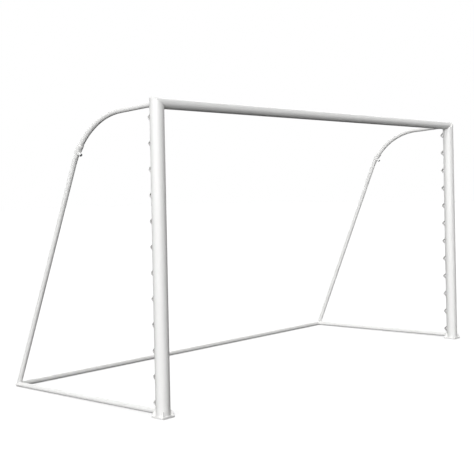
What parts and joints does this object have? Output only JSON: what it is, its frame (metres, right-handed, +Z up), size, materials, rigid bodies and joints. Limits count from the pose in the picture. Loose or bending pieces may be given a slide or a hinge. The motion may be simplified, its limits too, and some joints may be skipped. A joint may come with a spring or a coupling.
{
  "type": "mini soccer goal",
  "caption": "Free-standing small-sided soccer goal of white welded steel tube, with net loops on the posts, bent rear stays and screw-locked stay sleeves.",
  "frame": {"origin": "on the ground, under the middle of the frame's box", "axes": "+X along the crossbar, +Y from the goal mouth to the rear, +Z up"},
  "size_m": [3.6, 1.5135, 1.896],
  "materials": {
    "mouth_paint": "gloss",
    "stay_paint": "gloss",
    "plate_paint": "satin",
    "loop_paint": "satin",
    "zinc_plate": "satin"
  },
  "bodies": {
    "goal_frame": {"crossbar": "mouth_paint", "left_post": "mouth_paint", "left_corner_plate": "plate_paint", "left_base_plate": "plate_paint", "left_gusset_1": "plate_paint", "left_gusset_2": "plate_paint", "left_gusset_3": "plate_paint", "left_gusset_4": "plate_paint", "left_net_loop_01": "loop_paint", "left_net_loop_02": "loop_paint", "left_net_loop_03": "loop_paint", "left_net_loop_04": "loop_paint", "left_net_loop_05": "loop_paint", "left_net_loop_06": "loop_paint", "left_net_loop_07": "loop_paint", "left_net_loop_08": "loop_paint", "left_net_loop_09": "loop_paint", "left_net_loop_10": "loop_paint", "left_net_loop_11": "loop_paint", "left_net_loop_12": "loop_paint", "left_upper_stay": "stay_paint", "left_stay_sleeve": "stay_paint", "left_lock_nut": "plate_paint", "left_rear_leg": "stay_paint", "left_side_rail": "stay_paint", "left_rail_cap": "stay_paint", "right_post": "mouth_paint", "right_corner_plate": "plate_paint", "right_base_plate": "plate_paint", "right_gusset_1": "plate_paint", "right_gusset_2": "plate_paint", "right_gusset_3": "plate_paint", "right_gusset_4": "plate_paint", "right_net_loop_01": "loop_paint", "right_net_loop_02": "loop_paint", "right_net_loop_03": "loop_paint", "right_net_loop_04": "loop_paint", "right_net_loop_05": "loop_paint", "right_net_loop_06": "loop_paint", "right_net_loop_07": "loop_paint", "right_net_loop_08": "loop_paint", "right_net_loop_09": "loop_paint", "right_net_loop_10": "loop_paint", "right_net_loop_11": "loop_paint", "right_net_loop_12": "loop_paint", "right_upper_stay": "stay_paint", "right_stay_sleeve": "stay_paint", "right_lock_nut": "plate_paint", "right_rear_leg": "stay_paint", "right_side_rail": "stay_paint", "right_rail_cap": "stay_paint", "rear_ground_rail": "stay_paint"},
    "left_lock": {"left_lock_bolt": "zinc_plate"},
    "right_lock": {"right_lock_bolt": "zinc_plate"}
  },
  "joints": [
    {"name": "left_lock_unscrew", "type": "slide", "parent": "goal_frame", "child": "left_lock", "axis": [0, -0.829, -0.5592], "range_m": [0, 0.012]},
    {"name": "right_lock_unscrew", "type": "slide", "parent": "goal_frame", "child": "right_lock", "axis": [0, -0.829, -0.5592], "range_m": [0, 0.012]}
  ]
}
